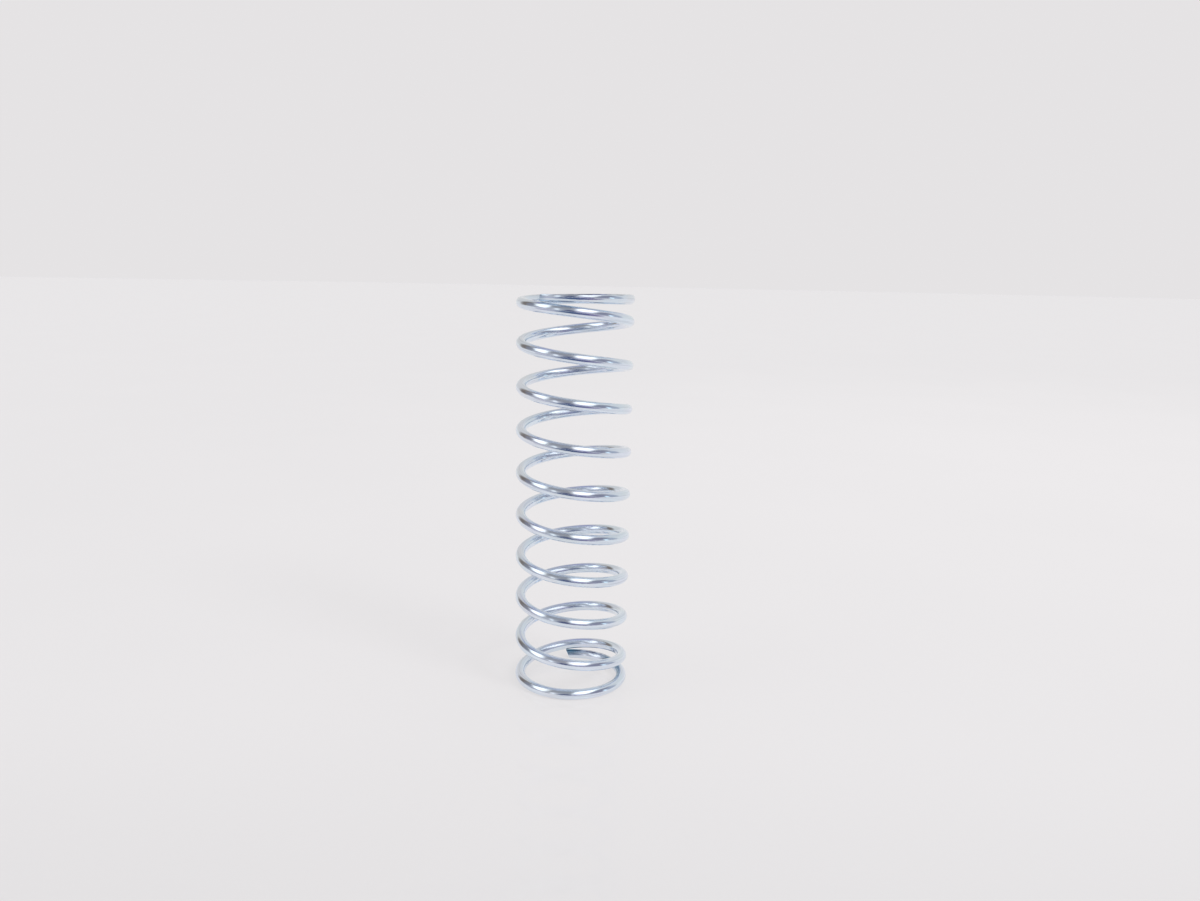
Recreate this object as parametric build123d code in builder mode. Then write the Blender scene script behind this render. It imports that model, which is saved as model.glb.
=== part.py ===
"""A left-hand wound compression spring of round steel wire, with closed and ground ends.

The coil axis is Z. The spring stands on its lower ground face at Z = 0, and the origin is on the axis there.
Sizes are in millimetres, and places along the wire are in turns from its lower tip.
"""

from build123d import *
from math import ceil, cos, pi, radians, sin, sqrt
import os

# Wire and coil
wire_diameter = 1.25
outer_diameter = 14.0
free_length = 48.0
active_pitch = 5.22
lower_tip_azimuth = 96.0

# Lower end: thickness left at the ground tip, rise of the closed coil per turn,
# turns over which that rise grows to the active pitch, and gap between tip and the coil above it
lower_tip_thickness = 0.95
lower_end_pitch = 0.5
lower_blend_turns = 0.2
lower_seat_gap = 0.12

# Upper end, with the same sizes measured down from its ground face
upper_tip_thickness = 0.82
upper_end_pitch = 0.9
upper_blend_turns = 0.5
upper_seat_gap = 0.03

# Cut-off ends of the wire lean back by this much on their ground side
shear_run = 0.6

# Each turn of the centreline is this many tangent arcs or more
arcs_per_turn = 16

wire_radius = wire_diameter / 2
coil_radius = (outer_diameter - wire_diameter) / 2
lower_tip_height = lower_tip_thickness - wire_radius
upper_tip_height = free_length - upper_tip_thickness + wire_radius


def corner_turns(end_pitch, blend_turns, seat_gap):
    """Turns from a tip to where its closed coil's rise line meets the active coils' rise line."""
    lift = (wire_diameter + seat_gap - end_pitch) / (active_pitch - end_pitch)
    if lift >= blend_turns / 2:
        return 1 - lift
    return 1 + blend_turns / 2 - sqrt(2 * blend_turns * lift)


def ramp(past_corner, blend_turns):
    """Integral of a slope that grows evenly from 0 to 1 over a blend centred on the corner."""
    if abs(past_corner) < blend_turns / 2:
        return (past_corner + blend_turns / 2) ** 2 / (2 * blend_turns)
    return max(past_corner, 0)


lower_gain = active_pitch - lower_end_pitch
upper_gain = active_pitch - upper_end_pitch
lower_corner = corner_turns(lower_end_pitch, lower_blend_turns, lower_seat_gap)
upper_corner = corner_turns(upper_end_pitch, upper_blend_turns, upper_seat_gap)
tip_to_tip = upper_tip_height - lower_tip_height
total_turns = (tip_to_tip + lower_gain * lower_corner + upper_gain * upper_corner) / active_pitch
upper_corner_turn = total_turns - upper_corner


def on_coil(turn):
    """Point of the wire's centreline. The azimuth falls as the wire climbs, so it winds left-handed."""
    azimuth = radians(lower_tip_azimuth - 360 * turn)
    lower_rise = lower_end_pitch * turn + lower_gain * ramp(turn - lower_corner, lower_blend_turns)
    upper_loss = upper_gain * ramp(turn - upper_corner_turn, upper_blend_turns)
    height = lower_tip_height + lower_rise - upper_loss
    return Vector(coil_radius * cos(azimuth), coil_radius * sin(azimuth), height)


def stations():
    """Turns at which the arcs meet. The start and end of each blend are among them."""
    marks = [
        0,
        lower_corner - lower_blend_turns / 2,
        lower_corner + lower_blend_turns / 2,
        upper_corner_turn - upper_blend_turns / 2,
        upper_corner_turn + upper_blend_turns / 2,
        total_turns,
    ]
    turns = [0.0]
    for start, end in zip(marks, marks[1:]):
        arcs = ceil((end - start) * arcs_per_turn)
        turns += [start + (end - start) * arc / arcs for arc in range(1, arcs + 1)]
    return turns


with BuildPart() as coil_spring:
    # Centreline, as tangent arcs through points of the coil
    turns = stations()
    start_azimuth = radians(lower_tip_azimuth)
    start_slope = lower_end_pitch / (2 * pi * coil_radius)
    heading = Vector(sin(start_azimuth), -cos(start_azimuth), start_slope)
    with BuildLine() as centreline:
        for turn, next_turn in zip(turns, turns[1:]):
            arc = TangentArc(on_coil(turn), on_coil(next_turn), tangent=heading)
            heading = arc % 1

    # Round wire
    lower_tip = on_coil(0)
    upper_tip = on_coil(total_turns)
    lower_heading = centreline.line % 0
    upper_heading = centreline.line % 1
    with BuildSketch(Plane(lower_tip, z_dir=lower_heading)):
        Circle(wire_radius)
    sweep()

    # Sheared tips, cut back to a slanted face that is shorter on its ground side
    for tip, inward, ground_side in (
        (lower_tip, lower_heading, Vector(0, 0, -1)),
        (upper_tip, upper_heading * -1, Vector(0, 0, 1)),
    ):
        with BuildSketch(Plane(tip, x_dir=inward, z_dir=inward.cross(ground_side))):
            with BuildLine():
                Polyline((0, -wire_radius), (0, wire_radius), (shear_run, wire_radius), close=True)
            make_face()
    extrude(amount=wire_diameter, both=True, mode=Mode.SUBTRACT)

    # Ground ends
    split(bisect_by=Plane.XY, keep=Keep.TOP)
    split(bisect_by=Plane.XY.offset(free_length), keep=Keep.BOTTOM)

wire_length = sum(edge.length for edge in centreline.edges())
print("turns", round(total_turns, 3), "wire length", round(wire_length, 1))
print("upper tip azimuth", round((lower_tip_azimuth - 360 * total_turns) % 360, 1))
print("volume of the uncut wire", round(pi * wire_radius**2 * wire_length, 1))
print("volume of the spring", round(coil_spring.part.volume, 1))

coil_spring.part.label = "coil_spring"
os.makedirs("parts", exist_ok=True)
export_step(coil_spring.part, "parts/coil_spring.step")
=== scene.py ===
"""A left-hand zinc-plated compression spring, standing on a pale glossy table in soft studio light.

Lengths are in metres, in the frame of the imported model, where their comment gives no other unit.
Places along the wire are in turns from its lower tip.
"""

from math import acos, ceil, cos, pi, radians, sin, sqrt

import bmesh
import bpy
from mathutils import Matrix, Vector, noise


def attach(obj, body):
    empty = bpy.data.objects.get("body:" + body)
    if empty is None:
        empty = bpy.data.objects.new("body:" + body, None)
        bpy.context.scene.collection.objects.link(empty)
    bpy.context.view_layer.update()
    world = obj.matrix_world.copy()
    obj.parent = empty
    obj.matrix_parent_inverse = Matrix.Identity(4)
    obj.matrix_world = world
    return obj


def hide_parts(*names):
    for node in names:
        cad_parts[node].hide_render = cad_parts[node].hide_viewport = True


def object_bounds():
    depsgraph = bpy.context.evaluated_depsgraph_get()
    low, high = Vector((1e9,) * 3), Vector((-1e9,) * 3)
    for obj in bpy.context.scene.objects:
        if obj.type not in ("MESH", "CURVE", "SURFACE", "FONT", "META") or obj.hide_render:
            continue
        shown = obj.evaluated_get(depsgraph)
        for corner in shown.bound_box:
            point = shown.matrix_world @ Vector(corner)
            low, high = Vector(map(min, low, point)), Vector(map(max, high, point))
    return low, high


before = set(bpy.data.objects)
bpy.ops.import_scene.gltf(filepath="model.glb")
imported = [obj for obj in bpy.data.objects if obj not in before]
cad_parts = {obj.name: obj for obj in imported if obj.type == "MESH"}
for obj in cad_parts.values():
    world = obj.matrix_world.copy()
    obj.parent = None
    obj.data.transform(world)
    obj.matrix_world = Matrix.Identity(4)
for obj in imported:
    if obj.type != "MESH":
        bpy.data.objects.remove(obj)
cad_low, cad_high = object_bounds()

# Wire and coil, as in the CAD solid
millimetre = 0.001
outer_diameter = round(cad_high.x - cad_low.x, 5)
free_length = round(cad_high.z, 5)
wire_diameter = 0.00125
active_pitch = 0.00522
lower_tip_azimuth = 96.0

# Lower and upper end: thickness left at the tip, rise of the closed coil per turn, turns of blend,
# gap beside the tip
lower_tip_thickness = 0.00095
lower_end_pitch = 0.0005
lower_blend_turns = 0.2
lower_seat_gap = 0.00012
upper_tip_thickness = 0.00082
upper_end_pitch = 0.0009
upper_blend_turns = 0.5
upper_seat_gap = 0.00003
shear_run = 0.0006

# Mesh: stations along the wire for each turn, and the quads round it, of which each ground side takes some
stations_per_turn = 96
quads_on_side = 12
quads_on_ground = 8
start_of_top = quads_on_side
start_of_bottom = 2 * quads_on_side + quads_on_ground
plain_half_angle = radians(36)
least_half_angle = radians(2)
half_angle_step = radians(4)
shear_fade_turns = 0.06

# Sheared tips, and the rounding of their rims and of the ground faces' rims
cap_shares = (0.8, 0.55, 0.28)
cap_dome = 0.00003
tear_size = 0.00025
tear_depth = 0.000012
edge_round = 0.0001
edge_segments = 3
least_edge_angle = radians(25)

# Material slots of the spring
wire_slot = 0
ground_slot = 1
sheared_slot = 2
rim_slot = 3

# Zinc colours
zinc_blue = (0.79, 0.885, 0.965, 1)
zinc_violet = (0.81, 0.86, 0.96, 1)
zinc_straw = (0.86, 0.86, 0.82, 1)
zinc_shade = (0.36, 0.40, 0.50, 1)
zinc_dull = (0.62, 0.65, 0.70, 1)
# Painted dark reflection, for the rims and crests
zinc_painted_dark_reflection = (0.09, 0.10, 0.19, 1)
# Darker near the tips, and painted shade where the closed coils touch
zinc_tip_dark_and_seat_shade = (0.07, 0.25, 0.38, 1)

# Noise runs from 0 to 1. Nearly all of it lies in the wide range, and most in the middle one.
noise_wide = (0.3, 0.7)
noise_middle = (0.35, 0.65)

# Marks on the wire: how many there are to a millimetre, and how far they are drawn out along it
cloud_scale = 0.9
cloud_stretch = (3, 1, 1)
straw_scale = 0.25
straw_range = (0.5, 0.72)
straw_share = 0.4
die_line_scale = 9.0
die_line_stretch = (60, 1, 1)
dark_line_range = (0.3, 0.52)
dark_line_share = 0.4
grain_scale = 28.0
grain_range = (0.35, 0.6)
least_grain = 0.3
wave_scale = 1.6
wave_stretch = (2.5, 1, 1)
wave_roughness = 0.62
scuff_scale = 1.3
scuff_stretch = (2, 1, 1)
scuff_range = (0.6, 0.72)
scuff_share = 0.3
wire_roughness = (0.09, 0.14)
scuff_roughness = 0.18
die_line_relief = 0.6
grain_relief = 0.25
wave_relief = 8.0
wire_bump = 0.6
wire_bump_depth = 0.000003

# Ground faces: scratches and deeper gouges, all along one direction
scratch_angle = radians(25)
scratch_scale = 30
scratch_stretch = (40, 1, 1)
scratch_share = (0.1, 0.7)
gouge_scale = 9
gouge_stretch = (30, 1, 1)
gouge_range = (0.55, 0.7)
gouge_share = 0.4
gouge_relief = -0.8
ground_roughness = (0.24, 0.4)
ground_bump = 0.7
ground_bump_depth = 0.000006

# Sheared tips: torn metal, with drag marks up and down
torn_scale = 7.0
drag_scale = 16.0
drag_stretch = (1, 1, 12)
drag_range = (0.45, 0.7)
drag_share = 0.5
drag_relief = 0.5
rough_noise = 0.7
sheared_roughness = (0.3, 0.5)
sheared_bump = 0.8
sheared_bump_depth = 0.00001

# Painted dark reflection on the rims and crests, in strokes
stroke_scale = 3.0
stroke_stretch = (4, 1, 1)
stroke_range = (0.42, 0.56)
least_painted_dark = 0.1
rim_roughness = (0.12, 0.25)

# Darkening, in millimetres: how far it runs from each tip, and where painted shade lies on the side that
# faces its coil, where the closed coils touch
tip_dark_start = 0.4
lower_tip_dark_end = 2.8
upper_tip_dark_end = 1.3
upper_tip_dark = 0.45
seat_painted_shade_rise = (4.5, 7.5)
seat_painted_shade_fade = (12, 17)
lower_dark_height = (-0.1, 0.6)
seat_painted_shade_depth = (-0.3, 0.05)
dark_cloud_scale = 1.1
dark_cloud_range = (0.3, 0.6)
least_dark = 0.5

# Painted dark reflection on a closed coil's crest, in millimetres: how high the crest is on the section,
# where it ends beside the lower tip, and where it lies on the top coil, back from the upper tip, past the
# ground face
crest_height = (0.48, 0.56)
lower_crest_dark_fade = (4, 8)
upper_crest_dark_rise = (15, 19)
upper_crest_dark_fade = (27, 31)

# Sheet that the spring stands on. Its colour holds a painted pool of light, brightest round one spot, and
# painted shade that dims it a little near the camera.
# Its marks are counted to a millimetre.
sheet_radius = 6.0
sheet_segments = 96
sheet_gap = 0.00002
sheet_painted_lit = (0.833, 0.814, 0.818, 1)
sheet_plain = (0.795, 0.779, 0.784, 1)
sheet_painted_light_spot = (0.18, 0.12, 0)
sheet_painted_light_reach = 0.36
sheet_painted_falloff_direction = (-0.1, -1, 0)
sheet_painted_falloff_start = 0.012
sheet_painted_falloff_end = 0.06
sheet_painted_falloff = 0.055
sheet_gloss = 0.045
sheet_gloss_roughness = 0.05
sheet_glow_share = 0.76
sheet_glow = 1.02
sheet_speckle_scale = 1.2
sheet_speckle = 0.04
sheet_cloud_scale = 0.02
sheet_cloud = 0.1
black = (0, 0, 0, 1)

# Dark card that lies on the sheet in front, out of the camera's sight. The wire mirrors it.
# Its near edge is this far from the axis at each azimuth, with this shade there.
card_reach = 0.6
card_lift = 0.0002
card_edge = (
    (186, 0.085, (0.60, 0.58, 0.65, 1)),
    (215, 0.080, (0.50, 0.50, 0.58, 1)),
    (242, 0.070, (0.14, 0.18, 0.28, 1)),
    (258, 0.060, (0.08, 0.12, 0.22, 1)),
    (278, 0.056, (0.12, 0.14, 0.27, 1)),
    (296, 0.062, (0.20, 0.18, 0.32, 1)),
    (312, 0.075, (0.36, 0.33, 0.44, 1)),
    (326, 0.095, (0.66, 0.67, 0.72, 1)),
)

# Room as seen from the spring: plain shades, which change over these heights of a unit sphere and these
# elevations in degrees, then oval patches, each laid over those before it.
# A patch has azimuth, elevation, half width, half height and lean, all in degrees, then softness and shade.
room_walls = (0.80, 0.80, 0.79, 1)
room_upper_walls = (0.70, 0.71, 0.72, 1)
room_ceiling = (0.44, 0.44, 0.50, 1)
upper_wall_heights = (0.05, 0.6)
ceiling_start = 50
ceiling_end = 72
backdrop_colour = (0.785, 0.769, 0.778, 1)
room_patches = (
    (110, 28, 22, 16, 0, 0.7, (0.69, 0.675, 0.66, 1)),
    (112, 52, 16, 6, -40, 0.6, (0.36, 0.37, 0.56, 1)),
    (142, 61, 22, 7, 0, 0.6, (0.33, 0.34, 0.52, 1)),
    (154, 24, 14, 25, -10, 0.7, (0.22, 0.185, 0.165, 1)),
    (170, 26, 9, 22, -20, 0.7, (0.25, 0.25, 0.29, 1)),
    (203, 2, 26, 15, 0, 0.5, (0.42, 0.41, 0.48, 1)),
    (240, 44, 28, 58, 0, 0.2, (0.33, 0.33, 0.36, 1)),
    (234, 16, 14, 16, 0, 0.8, (0.52, 0.52, 0.56, 1)),
    (260, 0, 13, 22, 10, 0.5, (0.08, 0.10, 0.20, 1)),
    (292, -2, 24, 9, 0, 0.5, (0.20, 0.19, 0.33, 1)),
    (322, 6, 14, 15, 0, 0.5, (0.36, 0.36, 0.45, 1)),
    (358, 12, 14, 24, 0, 0.5, (0.42, 0.45, 0.53, 1)),
    (333, 12, 9, 20, 0, 0.5, (0.30, 0.29, 0.37, 1)),
    (336, 31, 12, 26, 58, 0.4, (0.27, 0.27, 0.34, 1)),
    (176, 50, 9, 9, 0, 0.6, (0.85, 0.86, 0.90, 1)),
    (356, 66, 14, 8, 0, 0.5, (1.0, 1.05, 1.1, 1)),
    (288, 15, 13, 9, 0, 0.5, (0.50, 0.47, 0.62, 1)),
    (306, 51, 14.5, 28, 36, 0.35, (1.55, 1.55, 1.55, 1)),
    (197, 39.5, 12.5, 27, -23, 0.4, (1.4, 1.42, 1.42, 1)),
    (235, 12, 4.5, 20, 0, 0.4, (0.95, 0.97, 1.0, 1)),
    (344, 2, 4.5, 18, 0, 0.4, (0.92, 1.1, 1.2, 1)),
)

# Soft lights: name, azimuth, elevation and width in degrees, brightness. The wire mirrors the room's patches
# in their place.
soft_lights = (
    ("main_softbox", 322, 36, 18, 15.0),
    ("side_softbox", 198, 39, 20, 1.2),
    ("overhead_fill", 270, 80, 170, 0.16),
)

# Camera, from a fit of the spring's outline in the photograph.
# Its sensor is in millimetres, its angles are in degrees.
photo_width = 1200
sensor_width = 36.0
camera_focal_pixels = 917.66
camera_distance = 0.109529
camera_height = 0.049788
camera_yaw = 1.6764
camera_pitch = -10.5967
camera_roll = 1.0791
nearest_seen = 0.01
farthest_seen = 10.0

wire_radius = wire_diameter / 2
coil_radius = (outer_diameter - wire_diameter) / 2
lower_tip_height = lower_tip_thickness - wire_radius
upper_tip_height = free_length - upper_tip_thickness + wire_radius


def corner_turns(end_pitch, blend_turns, seat_gap):
    """Turns from a tip to where its closed coil's rise line meets the active coils' rise line."""
    lift = (wire_diameter + seat_gap - end_pitch) / (active_pitch - end_pitch)
    if lift >= blend_turns / 2:
        return 1 - lift
    return 1 + blend_turns / 2 - sqrt(2 * blend_turns * lift)


def ramp(past_corner, blend_turns):
    """Integral of a slope that grows evenly from 0 to 1 over a blend centred on the corner."""
    if abs(past_corner) < blend_turns / 2:
        return (past_corner + blend_turns / 2) ** 2 / (2 * blend_turns)
    return max(past_corner, 0)


def slope_share(past_corner, blend_turns):
    """Slope of ramp."""
    return min(max(past_corner / blend_turns + 0.5, 0), 1)


lower_gain = active_pitch - lower_end_pitch
upper_gain = active_pitch - upper_end_pitch
lower_corner = corner_turns(lower_end_pitch, lower_blend_turns, lower_seat_gap)
upper_corner = corner_turns(upper_end_pitch, upper_blend_turns, upper_seat_gap)
tip_to_tip = upper_tip_height - lower_tip_height
total_turns = (tip_to_tip + lower_gain * lower_corner + upper_gain * upper_corner) / active_pitch
upper_corner_turn = total_turns - upper_corner
wire_length = total_turns * 2 * pi * coil_radius / millimetre


class Station:
    """Centre of the wire at a turn, and its directions: outward from the axis, along the wire, up."""

    def __init__(self, turn):
        azimuth = radians(lower_tip_azimuth - 360 * turn)
        past_lower = turn - lower_corner
        past_upper = turn - upper_corner_turn
        rise = lower_end_pitch * turn + lower_gain * ramp(past_lower, lower_blend_turns)
        height = lower_tip_height + rise - upper_gain * ramp(past_upper, upper_blend_turns)
        pitch = lower_end_pitch + lower_gain * slope_share(past_lower, lower_blend_turns)
        pitch -= upper_gain * slope_share(past_upper, upper_blend_turns)
        self.turn = turn
        self.outward = Vector((cos(azimuth), sin(azimuth), 0))
        self.centre = self.outward * coil_radius + Vector((0, 0, height))
        self.along = Vector((sin(azimuth), -cos(azimuth), pitch / (2 * pi * coil_radius))).normalized()
        self.upward = self.along.cross(self.outward)

    def ground_half_angle(self, side):
        """Half the angle of the section that grinding takes off. Side is -1 for the bottom, 1 for the top."""
        plane = free_length if side > 0 else 0
        to_plane = side * (plane - self.centre.z) / self.upward.z
        return acos(to_plane / wire_radius) if to_plane < wire_radius else 0

    def at(self, across, up):
        return self.centre + self.outward * across + self.upward * up


def eased(angles):
    """Half angles that the mesh gives to the ground side of each ring, changing gently along the wire."""
    halves = [max(angle, least_half_angle) if angle else plain_half_angle for angle in angles]
    for order in (range(1, len(halves)), range(len(halves) - 2, -1, -1)):
        for i in order:
            before = i - 1 if order.step > 0 else i + 1
            if not angles[i]:
                halves[i] = min(halves[i], halves[before] + half_angle_step)
    return halves


def ring_points(low_half, high_half, low_ground, high_ground):
    """(across, up, ground side) of each point of a ring, from the lower outer corner on round the wire."""
    low_corner = low_half - pi / 2
    high_corner = pi / 2 - high_half
    points = []
    for i in range(quads_on_side):
        angle = low_corner + (high_corner - low_corner) * i / quads_on_side
        points.append((cos(angle), sin(angle), 0))
    for i in range(quads_on_ground):
        share = 1 - 2 * i / quads_on_ground
        if high_ground:
            points.append((sin(high_half) * share, cos(high_half), 1))
        else:
            points.append((sin(high_half * share), cos(high_half * share), 0))
    for i in range(quads_on_side):
        angle = high_corner + (low_corner - high_corner) * i / quads_on_side
        points.append((-cos(angle), sin(angle), 0))
    for i in range(quads_on_ground):
        share = 2 * i / quads_on_ground - 1
        if low_ground:
            points.append((sin(low_half) * share, -cos(low_half), -1))
        else:
            points.append((sin(low_half * share), -cos(low_half * share), 0))
    return [(across * wire_radius, up * wire_radius, side) for across, up, side in points]


def shear_shift(turn, up):
    """How far a point moves inward from its tip, in turns, to slant the cut end towards its ground side."""
    from_upper = total_turns - turn
    if turn < shear_fade_turns:
        lean = (wire_radius - up) / wire_diameter * (1 - turn / shear_fade_turns)
    elif from_upper < shear_fade_turns:
        lean = (wire_radius + up) / wire_diameter * (from_upper / shear_fade_turns - 1)
    else:
        return 0
    return lean * shear_run / (2 * pi * coil_radius)


def spring_mesh():
    """The wire's skin: rings of quads along the coil, flat where it is ground, closed by sheared tips."""
    mesh = bmesh.new()
    rod = mesh.verts.layers.float_vector.new("rod")
    rim = mesh.verts.layers.float.new("rim")
    count = ceil(total_turns * stations_per_turn)
    stations = [Station(total_turns * i / count) for i in range(count + 1)]
    low_angles = [station.ground_half_angle(-1) for station in stations]
    high_angles = [station.ground_half_angle(1) for station in stations]
    rings = []
    kinds = []
    for station, low, high, low_cut, high_cut in zip(
        stations, eased(low_angles), eased(high_angles), low_angles, high_angles
    ):
        ring = []
        points = ring_points(low, high, low_cut, high_cut)
        for i, (across, up, side) in enumerate(points):
            turn = station.turn + shear_shift(station.turn, up)
            place = Station(turn).at(across, up) if turn != station.turn else station.at(across, up)
            if side:
                place.z = free_length if side > 0 else 0
            vertex = mesh.verts.new(place)
            vertex[rod] = (turn * 2 * pi * coil_radius / millimetre, across / millimetre, up / millimetre)
            vertex[rim] = on_rim(i, low_cut, high_cut)
            ring.append(vertex)
        rings.append(ring)
        kinds.append([side for across, up, side in points])
    size = len(rings[0])
    for ring, next_ring, sides, next_sides in zip(rings, rings[1:], kinds, kinds[1:]):
        for i in range(size):
            j = (i + 1) % size
            face = mesh.faces.new((ring[j], ring[i], next_ring[i], next_ring[j]))
            flat = side_of_quad(i, sides) and side_of_quad(i, next_sides)
            face.material_index = ground_slot if flat else wire_slot
    close_tip(mesh, rod, rings[0], stations[0].along * -1)
    close_tip(mesh, rod, rings[-1][::-1], stations[-1].along)
    bmesh.ops.recalc_face_normals(mesh, faces=mesh.faces)
    round_edges(mesh)
    for face in mesh.faces:
        face.smooth = face.material_index != ground_slot
    return mesh


def on_rim(i, low_ground, high_ground):
    """1 for a point of a ring that is a corner of a ground side, and 0 for the others."""
    top = high_ground and i in (start_of_top, start_of_top + quads_on_ground)
    bottom = low_ground and i in (start_of_bottom, 0)
    return 1.0 if top or bottom else 0.0


def side_of_quad(i, sides):
    """Ground side that the quad after point i of a ring lies on, or 0."""
    for start in (start_of_top, start_of_bottom):
        if start <= i < start + quads_on_ground:
            return sides[start + quads_on_ground // 2]
    return 0


def close_tip(mesh, rod, rim, outward):
    """Closes an end with rings that shrink to its middle. The sheared face is slightly domed and torn."""
    middle = sum((vertex.co for vertex in rim), Vector()) / len(rim)
    middle_rod = sum((vertex[rod] for vertex in rim), Vector()) / len(rim)
    ring = rim
    for share in cap_shares:
        inner = []
        for vertex in rim:
            place = middle + (vertex.co - middle) * share
            tear = noise.noise(place / tear_size) * tear_depth
            inner.append(mesh.verts.new(place + outward * (cap_dome * (1 - share**2) + tear)))
            inner[-1][rod] = middle_rod + (vertex[rod] - middle_rod) * share
        for i in range(len(ring)):
            j = (i + 1) % len(ring)
            mesh.faces.new((ring[i], ring[j], inner[j], inner[i])).material_index = sheared_slot
        ring = inner
    centre = mesh.verts.new(middle + outward * cap_dome)
    centre[rod] = middle_rod
    for i in range(len(ring)):
        mesh.faces.new((ring[i], ring[(i + 1) % len(ring)], centre)).material_index = sheared_slot


def round_edges(mesh):
    """Takes the sharpness off the rims of the sheared tips and the ground faces, as plating does."""
    sharp = [
        edge
        for edge in mesh.edges
        if len({face.material_index for face in edge.link_faces}) > 1
        and edge.calc_face_angle(0) > least_edge_angle
    ]
    bmesh.ops.bevel(
        mesh,
        geom=sharp,
        offset=edge_round,
        offset_type="OFFSET",
        segments=edge_segments,
        profile=0.5,
        affect="EDGES",
        clamp_overlap=True,
        material=rim_slot,
    )


def make_spring():
    mesh = spring_mesh()
    data = bpy.data.meshes.new("coil_spring_wire")
    mesh.to_mesh(data)
    mesh.free()
    for material in (zinc_wire(), ground_zinc(), sheared_zinc(), painted_dark_rim_zinc()):
        data.materials.append(material)
    spring = bpy.data.objects.new("coil_spring_wire", data)
    bpy.context.scene.collection.objects.link(spring)
    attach(spring, "root")
    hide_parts("coil_spring")


def add(tree, kind, inputs=None, **settings):
    """One shader node. Its inputs are values or the sockets that feed them."""
    made = tree.nodes.new(kind)
    for name, value in settings.items():
        setattr(made, name, value)
    for name, value in (inputs or {}).items():
        if isinstance(value, bpy.types.NodeSocket):
            tree.links.new(value, made.inputs[name])
        else:
            made.inputs[name].default_value = value
    return made


def maths(tree, operation, *values):
    return add(tree, "ShaderNodeMath", dict(enumerate(values)), operation=operation).outputs[0]


def vector_value(tree, operation, first, second):
    """The number that an operation on two vectors gives."""
    return add(tree, "ShaderNodeVectorMath", {0: first, 1: second}, operation=operation).outputs["Value"]


def spread(tree, value, low, high, to_low, to_high, easing="LINEAR"):
    """Maps a value from one range to another, held at the ends."""
    inputs = {"Value": value, "From Min": low, "From Max": high, "To Min": to_low, "To Max": to_high}
    return add(tree, "ShaderNodeMapRange", inputs, interpolation_type=easing).outputs["Result"]


def blended(tree, share, first, second):
    """Colour between two colours."""
    mix = add(tree, "ShaderNodeMix", data_type="RGBA")
    for name, value in (("Factor_Float", share), ("A_Color", first), ("B_Color", second)):
        socket = next(socket for socket in mix.inputs if socket.identifier == name)
        if isinstance(value, bpy.types.NodeSocket):
            tree.links.new(value, socket)
        else:
            socket.default_value = value
    return next(socket for socket in mix.outputs if socket.identifier == "Result_Color")


def speckle(tree, place, scale, detail=3.0, stretch=(1, 1, 1), roughness=0.55):
    """Noise from 0 to 1 with features of 1/scale, drawn out by the stretch along each axis."""
    scaling = [scale / length for length in stretch]
    scaled = add(tree, "ShaderNodeVectorMath", {0: place, 1: scaling}, operation="MULTIPLY").outputs[0]
    inputs = {"Vector": scaled, "Scale": 1.0, "Detail": detail, "Roughness": roughness}
    return add(tree, "ShaderNodeTexNoise", inputs).outputs["Fac"]


def bare_material(name):
    material = bpy.data.materials.new(name)
    material.use_nodes = True
    tree = material.node_tree
    tree.nodes.clear()
    return material, tree


def metal(name):
    material, tree = bare_material(name)
    shader = add(tree, "ShaderNodeBsdfPrincipled", {"Metallic": 1.0})
    add(tree, "ShaderNodeOutputMaterial", {"Surface": shader.outputs[0]})
    return material, tree, shader


def coat(tree, shader, colour, roughness):
    tree.links.new(colour, shader.inputs["Base Color"])
    tree.links.new(roughness, shader.inputs["Roughness"])


def emboss(tree, shader, height, strength, depth):
    """Gives a metal relief. A height of 1 stands this deep."""
    bump = add(tree, "ShaderNodeBump", {"Height": height, "Strength": strength, "Distance": depth})
    tree.links.new(bump.outputs[0], shader.inputs["Normal"])


def rod_place(tree):
    """Place on the wire as if it were straight, in millimetres: X is along it, Y outward and Z up."""
    return add(tree, "ShaderNodeAttribute", attribute_name="rod").outputs["Vector"]


def zinc_colour(tree, place):
    """Pale blue zinc, clouded with faint violet and straw where the passivation is thicker or thinner."""
    clouds = speckle(tree, place, cloud_scale, stretch=cloud_stretch)
    straw = speckle(tree, place, straw_scale, detail=2.0)
    cool = blended(tree, spread(tree, clouds, *noise_middle, 0, 1), zinc_blue, zinc_violet)
    return blended(tree, spread(tree, straw, *straw_range, 0, straw_share), cool, zinc_straw)


def tip_dark_and_seat_shade_share(tree, place):
    """How much darker the wire is near its tips, and its painted shade where the closed coils touch."""
    along, across, up = add(tree, "ShaderNodeSeparateXYZ", {0: place}).outputs
    from_top = maths(tree, "SUBTRACT", wire_length, along)
    lower_tip = spread(tree, along, tip_dark_start, lower_tip_dark_end, 1, 0, "SMOOTHSTEP")
    upper_tip = spread(tree, from_top, tip_dark_start, upper_tip_dark_end, upper_tip_dark, 0, "SMOOTHSTEP")
    painted_seat_shade = spread(tree, along, *seat_painted_shade_rise, 0, 1, "SMOOTHSTEP")
    painted_seat_shade = maths(tree, "MULTIPLY", painted_seat_shade, spread(tree, along, *seat_painted_shade_fade, 1, 0, "SMOOTHSTEP"))
    painted_seat_shade = maths(tree, "MULTIPLY", painted_seat_shade, spread(tree, across, *seat_painted_shade_depth, 1, 0))
    lower = maths(tree, "MAXIMUM", lower_tip, painted_seat_shade)
    lower = maths(tree, "MULTIPLY", lower, spread(tree, up, *lower_dark_height, 0, 1))
    cloud = speckle(tree, place, dark_cloud_scale, stretch=cloud_stretch)
    cloud = spread(tree, cloud, *dark_cloud_range, least_dark, 1)
    return maths(tree, "MULTIPLY", maths(tree, "MAXIMUM", lower, upper_tip), cloud)


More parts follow.
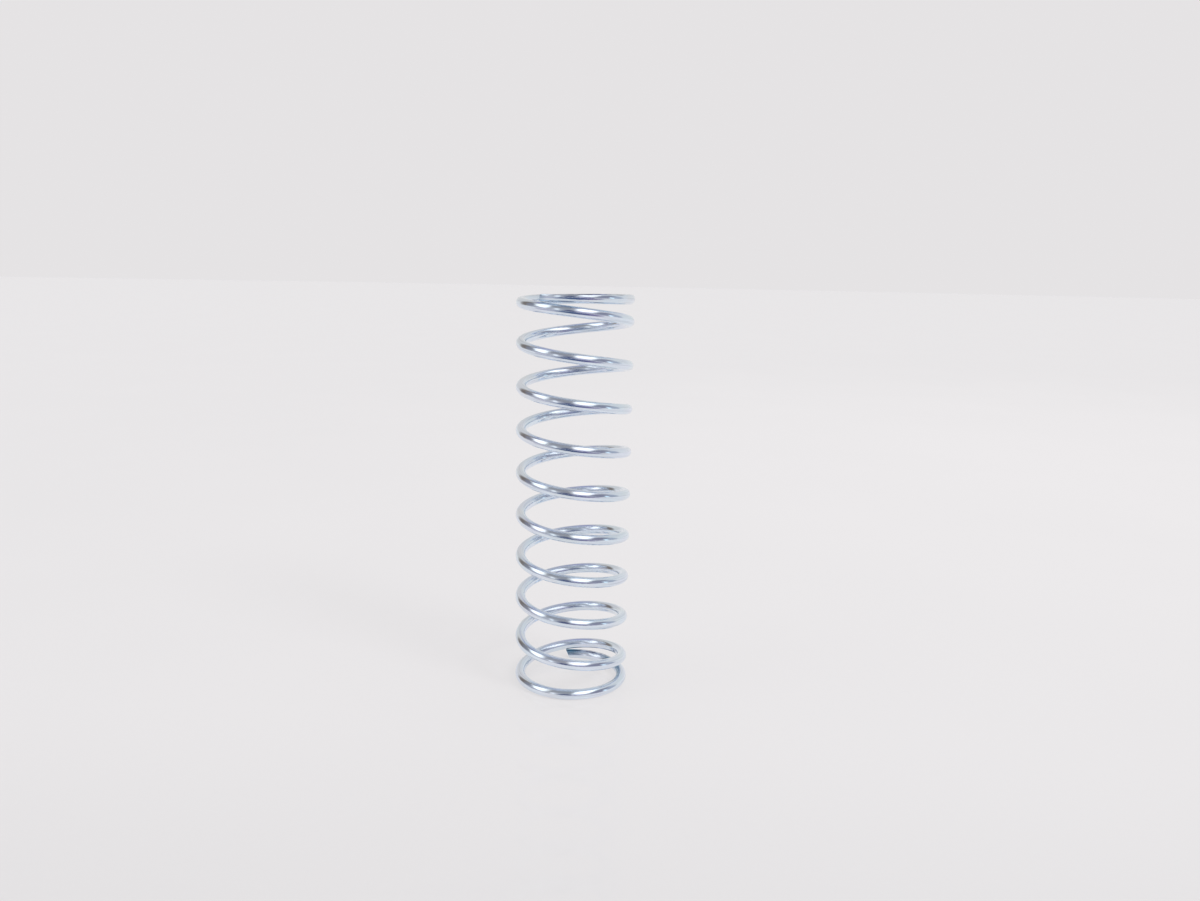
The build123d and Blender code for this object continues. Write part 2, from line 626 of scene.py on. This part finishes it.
def crest_painted_dark_share(tree, place):
    """1 on the crest of a closed coil, where a dark reflection is painted, beside the lower tip and where the
    wheel only grazed the top coil.
    """
    along, _, up = add(tree, "ShaderNodeSeparateXYZ", {0: place}).outputs
    from_top = maths(tree, "SUBTRACT", wire_length, along)
    grazed = spread(tree, from_top, *upper_crest_dark_rise, 0, 1)
    grazed = maths(tree, "MULTIPLY", grazed, spread(tree, from_top, *upper_crest_dark_fade, 1, 0))
    ends = maths(tree, "MAXIMUM", spread(tree, along, *lower_crest_dark_fade, 1, 0), grazed)
    return maths(tree, "MULTIPLY", ends, spread(tree, up, *crest_height, 0, 1))


def painted_dark_reflection_share(tree, place):
    """How much dark reflection is painted: along the rims of the ground faces and on the end crests, in
    strokes.
    """
    near_rim = add(tree, "ShaderNodeAttribute", attribute_name="rim").outputs["Fac"]
    dark = maths(tree, "MAXIMUM", near_rim, crest_painted_dark_share(tree, place))
    strokes = speckle(tree, place, stroke_scale, detail=5.0, stretch=stroke_stretch, roughness=rough_noise)
    return maths(tree, "MULTIPLY", dark, spread(tree, strokes, *stroke_range, 1, least_painted_dark))


def zinc_wire():
    """Bright plating over drawn wire: die lines run along it, with fine grains and a few dull scuffs."""
    material, tree, shader = metal("zinc_wire")
    place = rod_place(tree)
    die_lines = speckle(tree, place, die_line_scale, detail=4.0, stretch=die_line_stretch)
    grain = speckle(tree, place, grain_scale, detail=2.0)
    waves = speckle(tree, place, wave_scale, detail=5.0, stretch=wave_stretch, roughness=wave_roughness)
    scuffs = speckle(tree, place, scuff_scale, detail=6.0, stretch=scuff_stretch)
    scuffs = spread(tree, scuffs, *scuff_range, 0, 1)
    dull = maths(tree, "MULTIPLY", scuffs, spread(tree, grain, *grain_range, least_grain, 1))

    colour = zinc_colour(tree, place)
    dark_lines = spread(tree, die_lines, *dark_line_range, dark_line_share, 0)
    colour = blended(tree, dark_lines, colour, zinc_shade)
    colour = blended(tree, maths(tree, "MULTIPLY", dull, scuff_share), colour, zinc_dull)
    # Painted dark reflection along the ground faces' rims and on the end crests
    colour = blended(tree, painted_dark_reflection_share(tree, place), colour, zinc_painted_dark_reflection)
    # Darker near the tips, and painted shade on the side of the lower coils that faces the coil above, where
    # they touch
    colour = blended(tree, tip_dark_and_seat_shade_share(tree, place), colour, zinc_tip_dark_and_seat_shade)
    rough = spread(tree, die_lines, *noise_wide, *wire_roughness)
    coat(tree, shader, colour, maths(tree, "MULTIPLY_ADD", dull, scuff_roughness, rough))

    relief = maths(tree, "MULTIPLY", grain, grain_relief)
    relief = maths(tree, "MULTIPLY_ADD", die_lines, die_line_relief, relief)
    relief = maths(tree, "MULTIPLY_ADD", waves, wave_relief, relief)
    emboss(tree, shader, relief, wire_bump, wire_bump_depth)
    return material


def ground_zinc():
    """A ground face: straight, fairly even scratches from the wheel, under the same plating."""
    material, tree, shader = metal("ground_zinc")
    place = add(tree, "ShaderNodeTexCoord").outputs["Object"]
    inputs = {"Vector": place, "Angle": scratch_angle}
    turned = add(tree, "ShaderNodeVectorRotate", inputs, rotation_type="Z_AXIS").outputs[0]
    scratches = speckle(tree, turned, scratch_scale / millimetre, detail=5.0, stretch=scratch_stretch)
    gouges = speckle(tree, turned, gouge_scale / millimetre, stretch=gouge_stretch)
    gouges = spread(tree, gouges, *gouge_range, 0, 1)
    colour = blended(tree, spread(tree, scratches, *noise_middle, *scratch_share), zinc_blue, zinc_dull)
    colour = blended(tree, maths(tree, "MULTIPLY", gouges, gouge_share), colour, zinc_shade)
    coat(tree, shader, colour, spread(tree, scratches, *noise_wide, *ground_roughness))
    relief = maths(tree, "MULTIPLY_ADD", gouges, gouge_relief, scratches)
    emboss(tree, shader, relief, ground_bump, ground_bump_depth)
    return material


def sheared_zinc():
    """The cut end of the wire: smooth where the shear entered, and torn across the rest."""
    material, tree, shader = metal("sheared_zinc")
    place = rod_place(tree)
    torn = speckle(tree, place, torn_scale, detail=6.0, roughness=rough_noise)
    drag = speckle(tree, place, drag_scale, detail=2.0, stretch=drag_stretch)
    colour = blended(tree, spread(tree, torn, *noise_middle, 0, 1), zinc_shade, zinc_dull)
    colour = blended(tree, spread(tree, drag, *drag_range, 0, drag_share), colour, zinc_blue)
    coat(tree, shader, colour, spread(tree, torn, *noise_wide, *sheared_roughness))
    relief = maths(tree, "MULTIPLY_ADD", drag, drag_relief, torn)
    emboss(tree, shader, relief, sheared_bump, sheared_bump_depth)
    return material


def painted_dark_rim_zinc():
    """A rim, with a painted dark reflection, broken by strokes of plain bright zinc."""
    material, tree, shader = metal("painted_dark_rim_zinc")
    painted_dark = painted_dark_reflection_share(tree, rod_place(tree))
    roughness = spread(tree, painted_dark, 0, 1, *rim_roughness)
    coat(tree, shader, blended(tree, painted_dark, zinc_blue, zinc_painted_dark_reflection), roughness)
    return material


def camera_and_mirrors(tree):
    """1 for rays that show a colour as it is, straight or mirrored, and 0 for rays that light matt things."""
    path = add(tree, "ShaderNodeLightPath").outputs
    seen = maths(tree, "MAXIMUM", path["Is Camera Ray"], path["Is Glossy Ray"])
    return maths(tree, "MAXIMUM", seen, path["Is Transmission Ray"])


def show_front_only(tree, surface):
    """Makes a surface clear from behind."""
    clear = add(tree, "ShaderNodeBsdfTransparent")
    behind = add(tree, "ShaderNodeNewGeometry").outputs["Backfacing"]
    sided = add(tree, "ShaderNodeMixShader", {0: behind, 1: surface.outputs[0], 2: clear.outputs[0]})
    add(tree, "ShaderNodeOutputMaterial", {"Surface": sided.outputs[0]})


def pale_sheet():
    """Smooth and faintly glossy. Part of its tone is a glow of its own, which keeps shadows on it light.

    It is clear from below, so that the underside of the spring can be looked at.
    """
    material, tree = bare_material("pale_sheet")
    place = add(tree, "ShaderNodeTexCoord").outputs["Object"]
    # Painted pool of light: the sheet's colour is brightest round one spot
    from_painted_light_spot = vector_value(tree, "DISTANCE", place, sheet_painted_light_spot)
    shade = spread(tree, from_painted_light_spot, 0, sheet_painted_light_reach, 0, 1, "SMOOTHSTEP")
    speckles = speckle(tree, place, sheet_speckle_scale / millimetre)
    speckles = spread(tree, speckles, *noise_wide, -sheet_speckle, sheet_speckle)
    clouds = speckle(tree, place, sheet_cloud_scale / millimetre, detail=2.0)
    clouds = spread(tree, clouds, *noise_wide, -sheet_cloud, sheet_cloud)
    shade = maths(tree, "ADD", shade, maths(tree, "ADD", speckles, clouds))
    colour = blended(tree, shade, sheet_painted_lit, sheet_plain)
    # Painted shade: the sheet's colour dims a little towards the camera's side
    nearness = vector_value(tree, "DOT_PRODUCT", place, sheet_painted_falloff_direction)
    painted_falloff = spread(tree, nearness, sheet_painted_falloff_start, sheet_painted_falloff_end, 0, sheet_painted_falloff, "SMOOTHSTEP")
    colour = blended(tree, painted_falloff, colour, black)
    matt = add(tree, "ShaderNodeBsdfDiffuse", {"Color": colour})
    glow = add(tree, "ShaderNodeEmission", {"Color": colour, "Strength": sheet_glow})
    share = maths(tree, "MULTIPLY", camera_and_mirrors(tree), sheet_glow_share)
    pale = add(tree, "ShaderNodeMixShader", {0: share, 1: matt.outputs[0], 2: glow.outputs[0]})
    gloss = add(tree, "ShaderNodeBsdfGlossy", {"Roughness": sheet_gloss_roughness})
    surface = add(tree, "ShaderNodeMixShader", {0: sheet_gloss, 1: pale.outputs[0], 2: gloss.outputs[0]})
    show_front_only(tree, surface)
    return material


def dark_card():
    """Shows the shades of its corners from above, and nothing from below, where the sheet mirrors it."""
    material, tree = bare_material("dark_card")
    shade = add(tree, "ShaderNodeAttribute", attribute_name="shade").outputs["Color"]
    glow = add(tree, "ShaderNodeEmission", {"Color": shade, "Strength": 1.0})
    show_front_only(tree, glow)
    return material


def stage_piece(name, mesh, material, height):
    data = bpy.data.meshes.new(name)
    mesh.to_mesh(data)
    mesh.free()
    data.materials.append(material)
    piece = bpy.data.objects.new(name, data)
    piece.location.z = height
    bpy.context.scene.collection.objects.link(piece)
    return piece


def make_stage():
    sheet = bmesh.new()
    bmesh.ops.create_circle(sheet, cap_ends=True, segments=sheet_segments, radius=sheet_radius)
    stage_piece("sheet", sheet, pale_sheet(), -sheet_gap)

    card = bmesh.new()
    shade_layer = card.verts.layers.float_color.new("shade")
    sides = []
    for azimuth, near, shade in card_edge:
        corners = [card.verts.new(towards(azimuth, 0) * reach) for reach in (near, card_reach)]
        for corner in corners:
            corner[shade_layer] = shade
        sides.append(corners)
    for (near, far), (next_near, next_far) in zip(sides, sides[1:]):
        card.faces.new((near, far, next_far, next_near))
    dark = stage_piece("dark_card", card, dark_card(), card_lift)
    dark.visible_camera = False
    dark.visible_diffuse = False
    dark.visible_shadow = False


def towards(azimuth, elevation):
    """Unit vector. Azimuth 0 is +X and 270 is the camera's side."""
    a, e = radians(azimuth), radians(elevation)
    return Vector((cos(a) * cos(e), sin(a) * cos(e), sin(e)))


def soft_light(name, azimuth, elevation, width, brightness):
    """A far round soft light that fills this angle, in degrees. Its brightness is that of its face."""
    half = radians(width / 2)
    lamp = bpy.data.lights.new(name, "SUN")
    lamp.angle = 2 * half
    lamp.energy = brightness * pi * sin(half) ** 2
    light = bpy.data.objects.new(name, lamp)
    light.rotation_mode = "QUATERNION"
    light.rotation_quaternion = towards(azimuth, elevation).to_track_quat("Z", "Y")
    light.visible_glossy = False
    bpy.context.scene.collection.objects.link(light)


def patch_share(tree, direction, azimuth, elevation, half_width, half_height, lean, softness):
    """1 inside an oval patch of the room and 0 outside. A positive lean moves its top to higher azimuths."""
    middle = towards(azimuth, elevation)
    sideways = towards(azimuth + 90, 0)
    above = middle.cross(sideways)
    lean_cos, lean_sin = cos(radians(lean)), sin(radians(lean))
    across = (sideways * lean_cos - above * lean_sin) / sin(radians(half_width))
    up = (above * lean_cos + sideways * lean_sin) / sin(radians(half_height))
    x, y, ahead = (vector_value(tree, "DOT_PRODUCT", direction, axis) for axis in (across, up, middle))
    square = maths(tree, "MULTIPLY_ADD", x, x, maths(tree, "MULTIPLY", y, y))
    inside = spread(tree, square, (1 + softness) ** 2, (1 - softness) ** 2, 0, 1, "SMOOTHSTEP")
    return maths(tree, "MULTIPLY", inside, maths(tree, "GREATER_THAN", ahead, 0.0))


def make_room():
    """The room that the wire mirrors. The camera sees a plain pale backdrop in its place."""
    world = bpy.data.worlds.new("room")
    bpy.context.scene.world = world
    world.use_nodes = True
    tree = world.node_tree
    tree.nodes.clear()
    direction = add(tree, "ShaderNodeTexCoord").outputs["Generated"]
    height = add(tree, "ShaderNodeSeparateXYZ", {0: direction}).outputs[2]
    walls = blended(tree, spread(tree, height, *upper_wall_heights, 0, 1), room_walls, room_upper_walls)
    ceiling_heights = sin(radians(ceiling_start)), sin(radians(ceiling_end))
    ceiling = spread(tree, height, *ceiling_heights, 0, 1, "SMOOTHSTEP")
    colour = blended(tree, ceiling, walls, room_ceiling)
    for *form, shade in room_patches:
        colour = blended(tree, patch_share(tree, direction, *form), colour, shade)
    room = add(tree, "ShaderNodeBackground", {"Color": colour})
    backdrop = add(tree, "ShaderNodeBackground", {"Color": backdrop_colour})
    seen = add(tree, "ShaderNodeLightPath").outputs["Is Camera Ray"]
    mix = add(tree, "ShaderNodeMixShader", {0: seen, 1: room.outputs[0], 2: backdrop.outputs[0]})
    add(tree, "ShaderNodeOutputWorld", {"Surface": mix.outputs[0]})


def make_camera():
    """The photograph's camera."""
    yaw, pitch, roll = (radians(angle) for angle in (camera_yaw, camera_pitch, camera_roll))
    ahead = Vector((sin(yaw) * cos(pitch), cos(yaw) * cos(pitch), sin(pitch)))
    level = Vector((cos(yaw), -sin(yaw), 0))
    upright = level.cross(ahead)
    right = level * cos(roll) + upright * sin(roll)
    up = upright * cos(roll) - level * sin(roll)
    lens = bpy.data.cameras.new("camera")
    lens.sensor_width = sensor_width
    lens.lens = camera_focal_pixels * sensor_width / photo_width
    lens.clip_start = nearest_seen
    lens.clip_end = farthest_seen
    camera = bpy.data.objects.new("camera", lens)
    turn = Matrix((right, up, -ahead)).transposed().to_4x4()
    camera.matrix_world = Matrix.Translation((0, -camera_distance, camera_height)) @ turn
    bpy.context.scene.collection.objects.link(camera)
    bpy.context.scene.camera = camera


make_spring()
make_stage()
make_room()
make_camera()
for light in soft_lights:
    soft_light(*light)
bpy.context.scene.view_settings.view_transform = "Standard"
